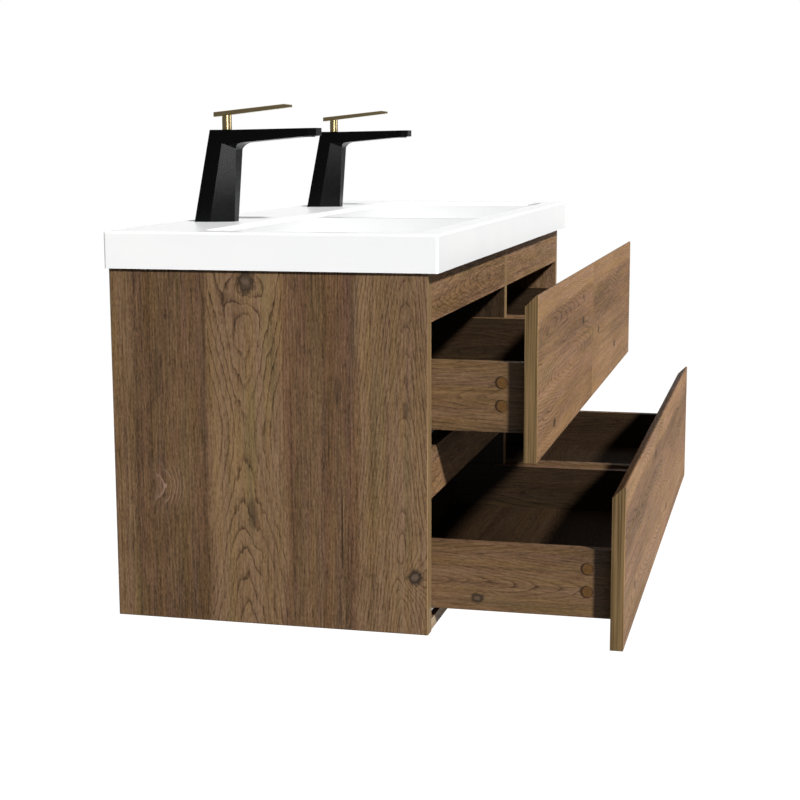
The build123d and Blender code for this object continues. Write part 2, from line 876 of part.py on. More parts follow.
def tap_spindle(side):
    """The turning piece in the tap's top, with a seat for the handle's barrel and room for it to tilt."""
    with BuildPart() as spindle:
        with BuildSketch(tap_plane(side, spindle_foot)):
            with Locations((0, spindle_y)):
                Circle(spindle_diameter / 2)
        extrude(amount=spindle_height)
        with BuildSketch(tap_plane(side, pivot_height)):
            rectangle((-pocket_half, spindle_y - pocket_half), (pocket_half, spindle_y + pocket_back))
        extrude(amount=pivot_drop, mode=Mode.SUBTRACT)
        with BuildSketch(tap_section(side)):
            with Locations((spindle_y, pivot_height)):
                Circle(barrel_diameter / 2 + running_gap)
        extrude(amount=pocket_half, both=True, mode=Mode.SUBTRACT)
    return spindle.part


def tap_handle(side):
    """The stem on its tilting barrel, and the flat lever on top, which thins towards a bevelled tip."""
    back = spindle_y + lever_back
    tip = spindle_y - lever_front
    back_under = tap_height + lever_back_height
    back_top = back_under + lever_back_thickness
    tip_under = tap_height + lever_tip_height
    tip_top = tip_under + lever_tip_thickness
    rise = (tip_top - back_top) / (back - tip)
    stem_top = back_under + lever_back_thickness / 2
    lever_profile = [
        (back, back_under),
        (back, back_top),
        (tip + lever_bevel_length, tip_top - rise * lever_bevel_length),
        (tip, tip_top - lever_tip_bevel),
        (tip, tip_under),
    ]
    with BuildPart() as handle:
        with BuildSketch(tap_section(side)):
            with BuildLine():
                Polyline(lever_profile, close=True)
            make_face()
        extrude(amount=lever_width / 2, both=True)
        chamfer(handle.edges(), length=lever_edge)
        with BuildSketch(tap_plane(side, stem_top)):
            with Locations((0, spindle_y)):
                Circle(stem_diameter / 2)
        extrude(amount=pivot_height + stem_lift - stem_top)
        with BuildSketch(tap_section(side)):
            with Locations((spindle_y, pivot_height)):
                Circle(barrel_diameter / 2)
        extrude(amount=barrel_length / 2, both=True)
    return handle.part


for column, side in columns.items():
    save(tap_body(side), f"{column}_tap_body")
    save(tap_spindle(side), f"{column}_tap_spindle")
    save(tap_handle(side), f"{column}_tap_handle")

with BuildPart() as tap_cartridges:
    for side in columns.values():
        with BuildSketch(tap_plane(side, cartridge_foot)):
            with Locations((0, spindle_y)):
                Circle(spindle_diameter / 2 - slide_gap)
        extrude(amount=cartridge_height)
save(tap_cartridges.part, "tap_cartridges")

with BuildPart() as tap_aerators:
    for side in columns.values():
        with BuildSketch(tap_plane(side, aerator_foot)):
            with Locations((0, aerator_y)):
                Circle(aerator_diameter / 2)
        extrude(amount=aerator_height)
save(tap_aerators.part, "tap_aerators")

# Each tap stands on a threaded shank with two inlets, held by a nut under the deck
shank_foot = shank_socket - shank_length
with BuildPart() as tap_shanks:
    for side in columns.values():
        with BuildSketch(tap_plane(side, shank_foot)):
            Circle(shank_diameter / 2)
        extrude(amount=shank_length)
        with BuildSketch(tap_plane(side, shank_foot)):
            with GridLocations(inlet_pitch, 0, 2, 1):
                Circle(inlet_diameter / 2)
        extrude(amount=inlet_depth, mode=Mode.SUBTRACT)
with BuildPart() as tap_nuts:
    for side in columns.values():
        with BuildSketch(tap_plane(side, -deck_thickness)):
            RegularPolygon(shank_nut_diameter / 2, shank_nut_side_count)
            Circle(shank_diameter / 2 + fit_gap, mode=Mode.SUBTRACT)
        extrude(amount=-shank_nut_height)
save(Compound(children=[*tap_shanks.part.solids(), *tap_nuts.part.solids()]), "tap_fixings")
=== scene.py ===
import math
import random
from collections import namedtuple

import bpy
from mathutils import Matrix, Vector


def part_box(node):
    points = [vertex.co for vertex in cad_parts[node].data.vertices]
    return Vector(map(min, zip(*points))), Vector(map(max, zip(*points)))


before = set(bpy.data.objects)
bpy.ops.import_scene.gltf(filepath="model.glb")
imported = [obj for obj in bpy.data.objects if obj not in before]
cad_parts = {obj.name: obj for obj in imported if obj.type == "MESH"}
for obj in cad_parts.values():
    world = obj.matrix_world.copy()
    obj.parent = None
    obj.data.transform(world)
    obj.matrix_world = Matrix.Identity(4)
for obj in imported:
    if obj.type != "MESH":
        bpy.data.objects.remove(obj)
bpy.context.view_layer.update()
scene = bpy.context.scene

X, Y, Z = 0, 1, 2
DRAWERS = ("upper_left", "upper_right", "lower_left", "lower_right")

# Camera, fitted to the photograph: place in metres, heading, pitch and roll in degrees, lens in millimetres
CAMERA_PLACE = (-2.71225, -0.94424, 0.23682)
CAMERA_YAW = 13.78
CAMERA_PITCH = -9.06
CAMERA_ROLL = -0.18
CAMERA_LENS = 72.77
CAMERA_SENSOR = 36.0
CAMERA_NEAR = 0.05

# Lamps: a sun, a fill in front of the drawers, and a softbox that shows only as a highlight
KEY_TRAVEL = (1.0, 1.0, -1.05)
KEY_STRENGTH = 5.1
KEY_ANGLE = math.radians(5.0)
FILL_PLACE = (1.0, -3.4, -0.2)
FILL_TARGET = (0.0, -0.5, -0.2)
FILL_STRENGTH = 22.0
FILL_SIZE = 1.6
SOFTBOX_PLACE = (-2.75, -1.60, -0.34)
SOFTBOX_TARGET = (-0.3, -0.1, 0.15)
SOFTBOX_STRENGTH = 50.0
SOFTBOX_SIZE = 1.3

# The room is white to the camera. As light it has the ambient strength, and in mirrors it is dim apart
# from a white backdrop and a pale ceiling. Their edges are the cosines of the angle to their middle where
# they start and where they are full.
WHITE = (1.0, 1.0, 1.0, 1.0)
AMBIENT = 0.13
ROOM_MIRRORED = 0.06
BACKDROP = (0.96, 0.23, 0.0)
BACKDROP_EDGE = (0.86, 0.97)
CEILING_MIRRORED = 0.60
CEILING_EDGE = (0.50, 0.85)

# The floor: the white that it shows the camera by itself and under the lamps, and the grey that throws
# light back. In mirrors it turns from that grey to white towards the backdrop, over twice the fade.
FLOOR_LEVEL = -2.5
FLOOR_SIZE = 30.0
FLOOR_GLOW = 0.85
FLOOR_SEEN = 0.20
FLOOR_BOUNCE = 0.12
FLOOR_ROUGHNESS = 0.9
FLOOR_FADE = 2.0

# The mix node's sockets for a factor and two numbers, and for a factor and two colours
MIX_NUMBERS = (0, 2, 3)
MIX_COLOURS = (0, 6, 7)
COLOUR_RESULT = 2


class Graph:
    """A node tree, with short ways to add nodes to it."""

    def __init__(self, tree):
        self.tree = tree

    def add(self, kind):
        return self.tree.nodes.new(kind)

    def join(self, source, target):
        self.tree.links.new(source, target)

    def feed(self, socket, value):
        """Links another node's output to a socket, or sets the socket to a constant."""
        if isinstance(value, bpy.types.NodeSocket):
            self.join(value, socket)
        else:
            socket.default_value = value

    def feed_all(self, sockets, values):
        for socket, value in zip(sockets, values):
            self.feed(socket, value)

    def coordinates(self, kind):
        return self.add("ShaderNodeTexCoord").outputs[kind]

    def math(self, operation, a, b=0.0, c=0.0, clamp=False):
        node = self.add("ShaderNodeMath")
        node.operation = operation
        node.use_clamp = clamp
        self.feed_all(node.inputs, (a, b, c))
        return node.outputs[0]

    def vector(self, operation, a, b=(0.0, 0.0, 0.0), out="Vector"):
        node = self.add("ShaderNodeVectorMath")
        node.operation = operation
        self.feed_all(node.inputs, (a, b))
        return node.outputs[out]

    def combine(self, x, y, z):
        node = self.add("ShaderNodeCombineXYZ")
        self.feed_all(node.inputs, (x, y, z))
        return node.outputs[0]

    def split(self, vector):
        node = self.add("ShaderNodeSeparateXYZ")
        self.join(vector, node.inputs[0])
        return node.outputs

    def length(self, a, b):
        """The length of the line with these two coordinates."""
        return self.vector("LENGTH", self.combine(a, b, 0.0), out="Value")

    def noise(self, vector, scale=1.0, detail=2.0, roughness=0.5):
        node = self.add("ShaderNodeTexNoise")
        self.join(vector, node.inputs["Vector"])
        node.inputs["Scale"].default_value = scale
        node.inputs["Detail"].default_value = detail
        node.inputs["Roughness"].default_value = roughness
        return node.outputs[0]

    def fit(self, value, low, high, to_low=0.0, to_high=1.0, smooth=False):
        """A value from low to high, taken to another range and held within it."""
        node = self.add("ShaderNodeMapRange")
        node.clamp = True
        if smooth:
            node.interpolation_type = "SMOOTHSTEP"
        self.feed_all(node.inputs, (value, low, high, to_low, to_high))
        return node.outputs[0]

    def blend(self, factor, a, b):
        """The number a where the factor is 0, and b where it is 1."""
        node = self.add("ShaderNodeMix")
        self.feed_all([node.inputs[index] for index in MIX_NUMBERS], (factor, a, b))
        return node.outputs[0]

    def mix(self, factor, a, b, blend="MIX"):
        """The colour a where the factor is 0, and b, or a blended with b, where it is 1."""
        node = self.add("ShaderNodeMix")
        node.data_type = "RGBA"
        node.blend_type = blend
        colours = [(*colour, 1.0) if isinstance(colour, tuple) else colour for colour in (a, b)]
        self.feed_all([node.inputs[index] for index in MIX_COLOURS], (factor, *colours))
        return node.outputs[COLOUR_RESULT]

    def ramp(self, value, stops):
        """A colour that follows stops of place and colour."""
        node = self.add("ShaderNodeValToRGB")
        elements = node.color_ramp.elements
        while len(elements) < len(stops):
            elements.new(1.0)
        for element, (position, colour) in zip(elements, stops):
            element.position = position
            element.color = (*colour, 1.0)
        self.join(value, node.inputs[0])
        return node.outputs[0]

    def curve(self, value, stops):
        """A number that follows stops of place and level."""
        grey = self.ramp(value, [(position, (level,) * 3) for position, level in stops])
        node = self.add("ShaderNodeSeparateColor")
        self.join(grey, node.inputs[0])
        return node.outputs[0]


class Finish(Graph):
    """A material with one principled shader."""

    def __init__(self, name):
        self.material = bpy.data.materials.new(name)
        self.material.use_nodes = True
        super().__init__(self.material.node_tree)
        self.tree.nodes.clear()
        self.output = self.add("ShaderNodeOutputMaterial")
        self.shader = self.add("ShaderNodeBsdfPrincipled")
        self.join(self.shader.outputs[0], self.output.inputs["Surface"])

    def set(self, **values):
        """Sets inputs of the shader, with _ for each space in their names."""
        for name, value in values.items():
            self.feed(self.shader.inputs[name.replace("_", " ")], value)

    def bump(self, height, strength, distance):
        node = self.add("ShaderNodeBump")
        node.inputs["Strength"].default_value = strength
        node.inputs["Distance"].default_value = distance
        self.join(height, node.inputs["Height"])
        self.join(node.outputs[0], self.shader.inputs["Normal"])


def paint(node, material):
    """Gives a CAD node its finish."""
    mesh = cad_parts[node].data
    mesh.materials.clear()
    mesh.materials.append(material)


# Oak decor. A board shows planks side by side, and sizes along and across the grain are in metres.
OAK_DARK = (0.048, 0.027, 0.013)
OAK_MID = (0.138, 0.080, 0.040)
OAK_LIGHT = (0.236, 0.146, 0.075)
OAK_PALE = (0.270, 0.165, 0.115)
RED_TINT = (1.02, 0.90, 0.98)
OLIVE_TINT = (0.70, 0.82, 0.72)
YELLOW_TINT = (1.0, 1.0, 0.88)
GREY_TINT = (1.0, 1.0, 1.12)
KNOT_RING = (0.020, 0.013, 0.008)
KNOT_HEART = (0.105, 0.070, 0.050)
END_DARK = (0.064, 0.041, 0.017)
END_LIGHT = (0.186, 0.118, 0.052)
BAND_DARK = (0.160, 0.098, 0.045)
BAND_LIGHT = (0.300, 0.195, 0.095)
# The bottom panel's front edge band: its own streaked tone, with painted light that makes it lighter than
# the other bands
BASE_BAND_DARK_PAINTED_LIT = (0.270, 0.185, 0.110)
BASE_BAND_LIGHT_PAINTED_LIT = (0.430, 0.320, 0.205)
DRAWER_TINT = (0.91, 0.87, 0.83)
# Painted light: the faces of fronts and rails towards the room are brightened by this factor
FRONT_PAINTED_LIGHT = (1.68, 1.63, 1.61)
# Painted shade: the inner faces of the divider and drawer boards are darkened by this factor
INNER_PAINTED_SHADE = (0.22, 0.22, 0.22)

# A look of boards: how far the rings wander across, the gloss, how strongly the fibres show, how olive the
# streaks get, a tint all over, and painted light: a factor that brightens the face towards the room
Look = namedtuple("Look", "wave gloss fine olive tint glow", defaults=(None, None))
CARCASS = Look(wave=0.030, gloss=0.10, fine=1.0, olive=0.70)
# Rails get the same painted light on their faces towards the room
RAIL = CARCASS._replace(glow=FRONT_PAINTED_LIGHT)
FRONT = Look(wave=0.055, gloss=0.05, fine=0.40, olive=0.35, glow=FRONT_PAINTED_LIGHT)
DRAWER = Look(wave=0.030, gloss=0.10, fine=0.70, olive=0.50, tint=DRAWER_TINT)

# Noise that is added: its scales along and across the grain, its weight and its detail
Layer = namedtuple("Layer", "along across weight detail", defaults=(2.0,))
KNOT_WARP = Layer(60.0, 60.0, 0.004)
KNOT_RAGGED = Layer(110.0, 170.0, 1.1, detail=3.0)
RING_SWAY = Layer(3.5, 12.0, 1.0, detail=1.0)
RING_WOBBLE = Layer(10.0, 55.0, 1.3)
RING_TREMBLE = Layer(40.0, 120.0, 0.35)
FIBRE = Layer(24.0, 330.0, 0.95)
SPECKLE = Layer(160.0, 420.0, 0.80, detail=1.0)
SLOW_TONES = (Layer(5.0, 260.0, 0.55), Layer(1.1, 90.0, 0.45), Layer(2.5, 15.0, 0.60))
GRAIN_ROUGHNESS = 0.6
SEED_SKEW = 0.37

# Noise that is cut to a level: its scales, and the values where the level starts and is full
Mask = namedtuple("Mask", "along across low high detail", defaults=(2.0,))
DASHES = Mask(60.0, 260.0, -0.14, 0.06)
FADING = Mask(3.0, 20.0, -0.16, 0.10)
PORES = Mask(45.0, 420.0, 0.05, 0.16)
RED_STREAKS = Mask(1.8, 48.0, -0.12, 0.12)
OLIVE_STREAKS = Mask(3.2, 40.0, 0.02, 0.20)
HUE_STREAKS = Mask(4.0, 70.0, -0.15, 0.15)
DASH_DEPTH = 0.60
FADED = 0.30
PORE_DEPTH = 0.24

# Planks: how far their tones run into each other, how round the arches of their rings are across and along
# the grain, how dark a ring is from one early-wood line to the next, and the ranges that are drawn from
PLANK_BLUR = 0.005
ARCH_TIP = 0.010
ARCH_TURN = 0.030
RING_LINE = [(0.0, 1.0), (0.09, 0.62), (0.24, 0.18), (0.55, 0.03), (0.96, 0.0), (1.0, 0.7)]
WIDTHS = (0.050, 0.105)
TONES = (0.46, 0.62)
REDS = (0.0, 0.5)
CENTRE_SHARES = (0.15, 0.85)
STEEPS = (5.5, 9.0)
PITCHES = (0.028, 0.045)
FIGURES = (0.35, 0.75)
SEEDS = (0.0, 20.0)

# Knots: how fast their push on the rings fades, and in multiples of their radius, where their dark starts
# and is full, and where a paler heart starts to turn dark and is dark. Only those over the heart radius
# have a heart.
KNOT_FADE = -0.22
KNOT_EDGE = (1.30, 0.55)
HEART_EDGE = (0.20, 0.62)
NO_HEART = 9.0
HEART_RADIUS = 0.007

# A face looks along an axis where its normal has more than this share of it. The streaks on edges have
# scales across and along them, and noise values where they are dark and light.
FACE_SHARE = 0.6
EDGE_ACROSS = 330.0
EDGE_ALONG = 4.0
EDGE_STREAKS = (0.38, 0.60)

# Surface: roughness over the fibres' span, and how deep the rings' lines and the pores lie
FIBRE_SPAN = (-0.2, 0.2)
OAK_ROUGHNESS = (0.66, 0.54)
LINE_RELIEF = -0.8
PORE_RELIEF = -0.6

# A plank starts at a place across the grain. Its rings form arches about a centre line, with legs that run
# steep times as far along the grain as across it. The arches turn at a middle place along the grain, and
# sense says whether they close there (1), open there (-1) or run straight (0). pitch is the ring spacing,
# and figure is how strongly the rings show.
Plank = namedtuple("Plank", "start tone red centre steep middle sense pitch figure")
# A knot has a place along and across the grain, a half width, its width over its length, a darkness (below
# 0 where it shows as pale strokes instead), and the number of rings that it pushes aside.
Knot = namedtuple("Knot", "along across radius stretch depth swirl")
# The banded narrow faces of a board: the axis they look along, the one their streaks run along, two colours
Edge = namedtuple("Edge", "looks runs dark light")

# Every board but the left side panel draws its own planks
draw = random.Random(11)


def drawn_plank(start, span):
    """A plank of drawn width and figure, and the place where the next one starts."""
    width = draw.uniform(*WIDTHS)
    plank = Plank(
        start=start,
        tone=draw.uniform(*TONES),
        red=draw.uniform(*REDS),
        centre=start + draw.uniform(*CENTRE_SHARES) * width,
        steep=draw.uniform(*STEEPS),
        middle=draw.uniform(*span),
        sense=draw.choice((-1, 1)),
        pitch=draw.uniform(*PITCHES),
        figure=draw.uniform(*FIGURES),
    )
    return plank, start + width


def sawn(low, high, span):
    """Drawn planks that fill a board from low to high across the grain."""
    planks = []
    start = low
    while start < high:
        plank, start = drawn_plank(start, span)
        planks.append(plank)
    return planks


class Oak(Finish):
    """The finish of a board with its grain along one axis and its planks side by side across another."""

    def __init__(self, name, along, across, seed):
        super().__init__(name)
        place = self.split(self.coordinates("Object"))
        self.u = place[along]
        self.v = place[across]
        deep = place[X + Y + Z - along - across]
        moved_u = self.math("ADD", self.u, seed)
        moved_v = self.math("ADD", self.v, seed * SEED_SKEW)
        self.seeded = self.combine(moved_u, moved_v, deep)

    def grain(self, kind):
        """A layer's or mask's noise, stretched along the grain, from -0.5 to 0.5."""
        stretched = self.vector("MULTIPLY", self.seeded, (kind.along, kind.across, kind.across))
        noise = self.noise(stretched, detail=kind.detail, roughness=GRAIN_ROUGHNESS)
        return self.math("SUBTRACT", noise, 0.5)

    def layer(self, layer, base, share=1.0):
        """A value with a share of a layer added."""
        return self.math("MULTIPLY_ADD", self.grain(layer), layer.weight * share, base)

    def mask(self, mask, to_low=0.0, to_high=1.0):
        """A level between two others, by a mask."""
        return self.fit(self.grain(mask), mask.low, mask.high, to_low, to_high)


def knot_marks(g, knots):
    """How far the knots push the rings aside, how much they darken and lighten the wood, and the distance
    from the nearest heart."""
    flat = g.combine(g.layer(KNOT_WARP, g.u), g.v, 0.0)
    ragged = g.grain(KNOT_RAGGED)
    push = dark = light = 0.0
    heart = NO_HEART
    for knot in knots:
        away = g.vector("SUBTRACT", flat, (knot.along, knot.across, 0.0))
        away = g.vector("MULTIPLY", away, (knot.stretch / knot.radius, 1.0 / knot.radius, 0.0))
        distance = g.vector("LENGTH", away, out="Value")
        near = g.math("EXPONENT", g.math("MULTIPLY", g.math("POWER", distance, 2.0), KNOT_FADE))
        push = g.math("MULTIPLY_ADD", near, knot.swirl, push)
        if knot.depth < 0.0:
            light = g.math("MULTIPLY_ADD", near, -knot.depth, light)
            continue
        spread = g.math("MULTIPLY_ADD", ragged, KNOT_RAGGED.weight, distance)
        if knot.radius > HEART_RADIUS:
            heart = g.math("MINIMUM", heart, spread)
        dark = g.math("MAXIMUM", dark, g.fit(spread, *KNOT_EDGE, 0.0, knot.depth, smooth=True))
    return push, dark, light, heart


def ring_field(g, v, planks):
    """The ring count over a board, with the tone, redness and figure of the plank at each place."""
    field = tone = red = figure = None
    for plank in planks:
        across = g.length(g.math("SUBTRACT", v, plank.centre), ARCH_TIP)
        along = g.length(g.math("SUBTRACT", g.u, plank.middle), ARCH_TURN)
        rings = g.math("MULTIPLY", across, plank.steep / plank.pitch)
        rings = g.math("MULTIPLY_ADD", along, plank.sense / plank.pitch, rings)
        if field is None:
            field, tone, red, figure = rings, plank.tone, plank.red, plank.figure
            continue
        field = g.blend(g.math("GREATER_THAN", v, plank.start), field, rings)
        past = g.fit(v, plank.start - PLANK_BLUR, plank.start + PLANK_BLUR)
        tone = g.blend(past, tone, plank.tone)
        red = g.blend(past, red, plank.red)
        figure = g.blend(past, figure, plank.figure)
    return field, tone, red, figure


def early_wood(g, planks, look, push):
    """The rings' dark lines, broken into dashes, with the whole rings and the planks' tone and redness."""
    field, tone, red, figure = ring_field(g, g.layer(RING_SWAY, g.v, look.wave), planks)
    field = g.math("ADD", field, g.layer(RING_WOBBLE, push))
    field = g.layer(RING_TREMBLE, field)
    ring = g.curve(g.math("FRACT", field), RING_LINE)
    dash = g.mask(DASHES, to_low=1.0 - DASH_DEPTH * look.fine)
    fade = g.mask(FADING, to_low=FADED)
    line = g.math("MULTIPLY", g.math("MULTIPLY", dash, fade), g.math("MULTIPLY", ring, figure))
    return line, ring, tone, red


def wood_colour(g, value, red, look):
    """Oak from dark to light by a value from 0 to 1, with streaks of other hues."""
    colour = g.ramp(value, [(0.0, OAK_DARK), (0.5, OAK_MID), (1.0, OAK_LIGHT)])
    colour = g.mix(g.math("MULTIPLY", red, g.mask(RED_STREAKS)), colour, RED_TINT, blend="MULTIPLY")
    colour = g.mix(g.mask(OLIVE_STREAKS, to_high=look.olive), colour, OLIVE_TINT, blend="MULTIPLY")
    return g.mix(1.0, colour, g.mix(g.mask(HUE_STREAKS), YELLOW_TINT, GREY_TINT), blend="MULTIPLY")


def face_colour(g, colour, look, edge, inner):
    """A board's colour with its banded edges, painted shade on its inner face, its look's tint, and painted
    light on the face towards the room.
    """
    facing = g.split(g.coordinates("Normal"))
    if edge:
        banded = g.math("GREATER_THAN", g.math("ABSOLUTE", facing[edge.looks]), FACE_SHARE)
        stretch = [EDGE_ACROSS] * 3
        stretch[edge.runs] = EDGE_ALONG
        stretched = g.vector("MULTIPLY", g.coordinates("Object"), stretch)
        streak = g.noise(stretched, detail=3.0, roughness=GRAIN_ROUGHNESS)
        colour = g.mix(banded, colour, g.mix(g.fit(streak, *EDGE_STREAKS), edge.dark, edge.light))
    # Painted shade: the inner face is darkened
    if inner:
        axis, way = inner
        painted_shade_side = g.math("GREATER_THAN", g.math("MULTIPLY", facing[axis], way), FACE_SHARE)
        colour = g.mix(painted_shade_side, colour, INNER_PAINTED_SHADE, blend="MULTIPLY")
    if look.tint:
        colour = g.mix(1.0, colour, look.tint, blend="MULTIPLY")
    # Painted light: the face towards the room is brightened
    if look.glow:
        painted_light_face = g.math("LESS_THAN", facing[Y], -FACE_SHARE)
        colour = g.mix(painted_light_face, colour, look.glow, blend="MULTIPLY")
    return colour


def oak(name, along, across, planks, look=CARCASS, knots=(), seed=0.0, edge=None, inner=None):
    """The material of an oak board. inner is the axis and the way that its inner face looks, which gets
    painted shade.
    """
    g = Oak(name, along, across, seed)
    push, dark, light, heart = knot_marks(g, knots)
    line, ring, tone, red = early_wood(g, planks, look, push)
    fibre = g.grain(FIBRE)
    pores = g.mask(PORES)
    value = g.math("SUBTRACT", tone, line)
    value = g.math("MULTIPLY_ADD", fibre, FIBRE.weight * look.fine, value)
    value = g.layer(SPECKLE, value, look.fine)
    for slow in SLOW_TONES:
        value = g.layer(slow, value)
    value = g.math("MULTIPLY_ADD", pores, -PORE_DEPTH * look.fine, value, clamp=True)
    colour = wood_colour(g, value, red, look)
    colour = g.mix(g.math("MULTIPLY", light, ring, clamp=True), colour, OAK_PALE)
    colour = g.mix(dark, colour, g.mix(g.fit(heart, *HEART_EDGE), KNOT_HEART, KNOT_RING))
    g.set(Base_Color=face_colour(g, colour, look, edge, inner))
    g.set(Roughness=g.fit(fibre, *FIBRE_SPAN, *OAK_ROUGHNESS), Specular_IOR_Level=look.gloss)
    relief = g.math("MULTIPLY_ADD", line, LINE_RELIEF, g.math("MULTIPLY_ADD", pores, PORE_RELIEF, fibre))
    g.bump(relief, strength=0.25, distance=0.0004)
    return g.material


def board(node, along, across, look=CARCASS, knots=(), planks=None, **faces):
    """Gives a node's board its own oak."""
    low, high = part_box(node)
    planks = planks or sawn(low[across], high[across], (low[along], high[along]))
    seed = draw.uniform(*SEEDS)
    paint(node, oak(f"oak_{node}", along, across, planks, look, knots, seed, **faces))


# Side panels: upright grain. The left one has planks and knots where the photograph shows them.
PANEL_PLANKS = [
    Plank(-0.465, 0.76, 0.10, centre=-0.434, steep=7.5, middle=-0.62, sense=1, pitch=0.036, figure=0.85),
    Plank(-0.365, 0.43, 0.70, centre=-0.395, steep=8.0, middle=-0.20, sense=0, pitch=0.038, figure=0.30),
    Plank(-0.260, 0.78, 0.05, centre=-0.204, steep=4.2, middle=-0.17, sense=-1, pitch=0.040, figure=0.95),
    Plank(-0.149, 0.36, 0.45, centre=-0.250, steep=8.0, middle=-0.20, sense=0, pitch=0.050, figure=0.25),
    Plank(-0.087, 0.37, 0.35, centre=-0.150, steep=6.0, middle=-0.20, sense=0, pitch=0.060, figure=0.20),
    Plank(-0.037, 0.56, 0.15, centre=-0.090, steep=7.0, middle=-0.20, sense=0, pitch=0.060, figure=0.20),
]
PANEL_KNOTS = [
    Knot(0.047, -0.208, radius=0.013, stretch=0.70, depth=0.90, swirl=5.0),
    Knot(-0.358, -0.447, radius=0.011, stretch=0.95, depth=0.95, swirl=4.0),
    Knot(-0.246, -0.088, radius=0.012, stretch=0.90, depth=-1.4, swirl=2.2),
    Knot(-0.100, -0.338, radius=0.006, stretch=0.30, depth=0.40, swirl=0.5),
    Knot(-0.124, -0.434, radius=0.005, stretch=0.35, depth=0.50, swirl=0.8),
    Knot(-0.281, -0.212, radius=0.007, stretch=0.28, depth=0.50, swirl=0.8),
    Knot(-0.089, -0.073, radius=0.006, stretch=0.15, depth=0.30, swirl=0.2),
    Knot(-0.300, -0.343, radius=0.0014, stretch=0.02, depth=0.80, swirl=0.0),
]
PANEL_SEED = 3.1
PANEL_EDGE = Edge(Y, Z, BAND_DARK, BAND_LIGHT)
left_panel = oak("oak_side", Z, Y, PANEL_PLANKS, knots=PANEL_KNOTS, seed=PANEL_SEED, edge=PANEL_EDGE)
paint("left_side_panel", left_panel)
board("right_side_panel", Z, Y, knots=PANEL_KNOTS[1:5], edge=PANEL_EDGE)
# The divider's left face gets painted shade
board("centre_divider", Z, Y, edge=PANEL_EDGE, inner=(X, -1))

# Rails and bottom: grain along the cabinet's width
for side in ("left", "right"):
    board(f"{side}_top_rail", X, Z, RAIL)
    board(f"{side}_middle_rail", X, Z, RAIL)
# The bottom panel's front edge is painted lighter to stand in for light reaching it
board("bottom_panel", X, Y, edge=Edge(Y, X, BASE_BAND_DARK_PAINTED_LIT, BASE_BAND_LIGHT_PAINTED_LIT))
board("back_rails", X, Z)

# Drawers. On the fronts planks start at shares of the height, from the bottom, and have set tones.
FRONT_PLANKS = [(0.0, 0.60), (0.25, 0.53), (0.58, 0.42), (0.835, 0.66)]
FRONT_KNOTS = {
    "upper_left": [
        Knot(-0.130, -0.047, radius=0.0070, stretch=0.55, depth=0.90, swirl=1.5),
        Knot(-0.130, -0.009, radius=0.0045, stretch=0.55, depth=0.80, swirl=0.8),
        Knot(-0.440, -0.161, radius=0.0068, stretch=0.55, depth=0.80, swirl=2.0),
    ],
    "upper_right": [
        Knot(0.075, -0.084, radius=0.0068, stretch=0.55, depth=0.80, swirl=1.5),
        Knot(0.330, -0.140, radius=0.0070, stretch=0.55, depth=0.85, swirl=2.0),
    ],
    "lower_left": [
        Knot(-0.130, -0.260, radius=0.0070, stretch=0.55, depth=0.85, swirl=1.5),
        Knot(-0.450, -0.390, radius=0.0070, stretch=0.55, depth=0.60, swirl=1.0),
    ],
    "lower_right": [
        Knot(0.110, -0.398, radius=0.0068, stretch=0.55, depth=0.85, swirl=1.5),
    ],
}
FRONT_END = Edge(X, Z, END_DARK, END_LIGHT)
DRAWER_SIDE_KNOTS = {
    "lower_left": [Knot(-0.530, -0.389, radius=0.0075, stretch=0.80, depth=0.90, swirl=5.0)],
}
for drawer in DRAWERS:
    front = f"{drawer}_drawer_front"
    low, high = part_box(front)
    planks = []
    for share, tone in FRONT_PLANKS:
        start = low.z + share * (high.z - low.z)
        plank = drawn_plank(start, (low.x, high.x))[0]
        planks.append(plank._replace(tone=tone))
    board(front, X, Z, FRONT, FRONT_KNOTS[drawer], planks, edge=FRONT_END)
    side_knots = DRAWER_SIDE_KNOTS.get(drawer, ())
    # The inner faces of the drawer boards get painted shade
    board(f"{drawer}_drawer_left_side", Y, Z, DRAWER, side_knots, inner=(X, 1))
    board(f"{drawer}_drawer_right_side", Y, Z, DRAWER, inner=(X, -1))
    board(f"{drawer}_drawer_back", X, Z, DRAWER, inner=(Y, -1))
    board(f"{drawer}_drawer_bottom", X, Y, DRAWER, inner=(Z, 1))


# Noise lies mostly within this span, over which a finish goes from a little smoother to a little rougher
NOISE_SPAN = (0.3, 0.7)
SMOOTHER = -0.06
ROUGHER = 0.08

# Basin glaze, and the bowls' part of the basin: in from its sides, front and back, and down from its deck
GLAZE_COOL = (0.870, 0.875, 0.875)
GLAZE_WARM = (0.900, 0.900, 0.895)
# Painted shade: the bowls are greyer than the deck
GLAZE_BOWL_PAINTED_SHADE = (0.67, 0.675, 0.675)
GLAZE_ROUGHNESS = (0.30, 0.42)
GLAZE_CLOUD = 9.0
GLAZE_CLOUD_SPAN = (0.35, 0.65)
GLAZE_SPECK = 420.0
GLAZE_SPECK_RELIEF = 0.15
BOWL_SIDE = 0.044
BOWL_FRONT = 0.040
BOWL_BACK = 0.130
BOWL_DROP = 0.0015


